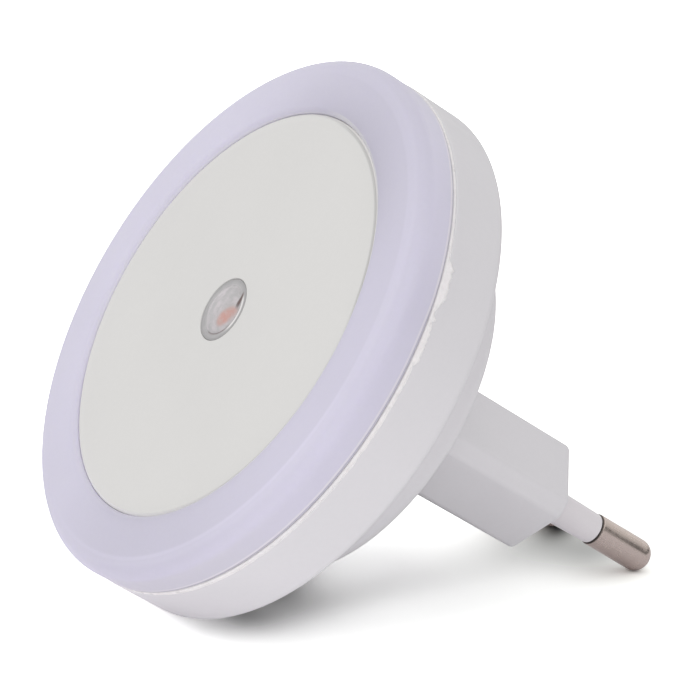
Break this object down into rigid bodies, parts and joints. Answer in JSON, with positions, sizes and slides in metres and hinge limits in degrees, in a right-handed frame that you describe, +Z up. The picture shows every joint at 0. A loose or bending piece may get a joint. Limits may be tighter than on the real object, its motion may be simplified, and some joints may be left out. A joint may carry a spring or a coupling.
{
  "type": "plug-in night light",
  "caption": "Round wall night light that plugs straight into a socket: opal light ring round a flat front disc with a dusk sensor, shallow housing and flat two-pin plug stem.",
  "frame": {"origin": "middle of the plug stem's engagement face, half way between the two pins, which meets the socket outlet", "axes": "+Y along the pins into the socket, -Y out of the lit face, +Z up on the wall, X across the pins"},
  "size_m": [0.0662, 0.0639, 0.0662],
  "materials": {
    "opal_ring": "satin opal lilac-white plastic",
    "front_disc": "fine matt off-white plastic",
    "clear_window": "clear moulded plastic",
    "ceramic": "ceramic sensor face with a winding track",
    "tinned_lead": "tinned copper",
    "sensor_tube": "matt light grey plastic",
    "board": "white solder mask on glass-fibre board",
    "diode": "phosphor window in a white package",
    "black_epoxy": "moulded black epoxy",
    "resistor_body": "matt coated ceramic",
    "film_case": "glossy moulded case",
    "can_sleeve": "shrink sleeve on an aluminium can",
    "brown_wire": "insulated wire",
    "blue_wire": "insulated wire",
    "screw_steel": "zinc-plated steel",
    "housing_white": "satin white moulded plastic",
    "weld_flash": "rough bead of welded plastic",
    "retainer": "moulded insulating plastic",
    "pin_metal": "warm satin nickel-plated brass",
    "sleeve_white": "satin white moulded plastic"
  },
  "bodies": {
    "root": {"diffuser_ring": "opal_ring", "centre_disc": "front_disc", "sensor_lens": "clear_window", "photocell": "ceramic", "photocell_leads": "tinned_lead", "sensor_shroud": "sensor_tube", "led_board": "board", "leds": "diode", "control_transistor": "black_epoxy", "chip_resistors": "black_epoxy", "fusible_resistor": "resistor_body", "film_capacitor": "film_case", "smoothing_capacitor": "can_sleeve", "bridge_rectifier": "black_epoxy", "live_wire": "brown_wire", "neutral_wire": "blue_wire", "board_screws": "screw_steel", "rear_housing": "housing_white", "seam_weld": "weld_flash", "pin_retainer": "retainer", "pin_left": "pin_metal", "pin_right": "pin_metal", "sleeve_left": "sleeve_white", "sleeve_right": "sleeve_white"}
  },
  "joints": []
}
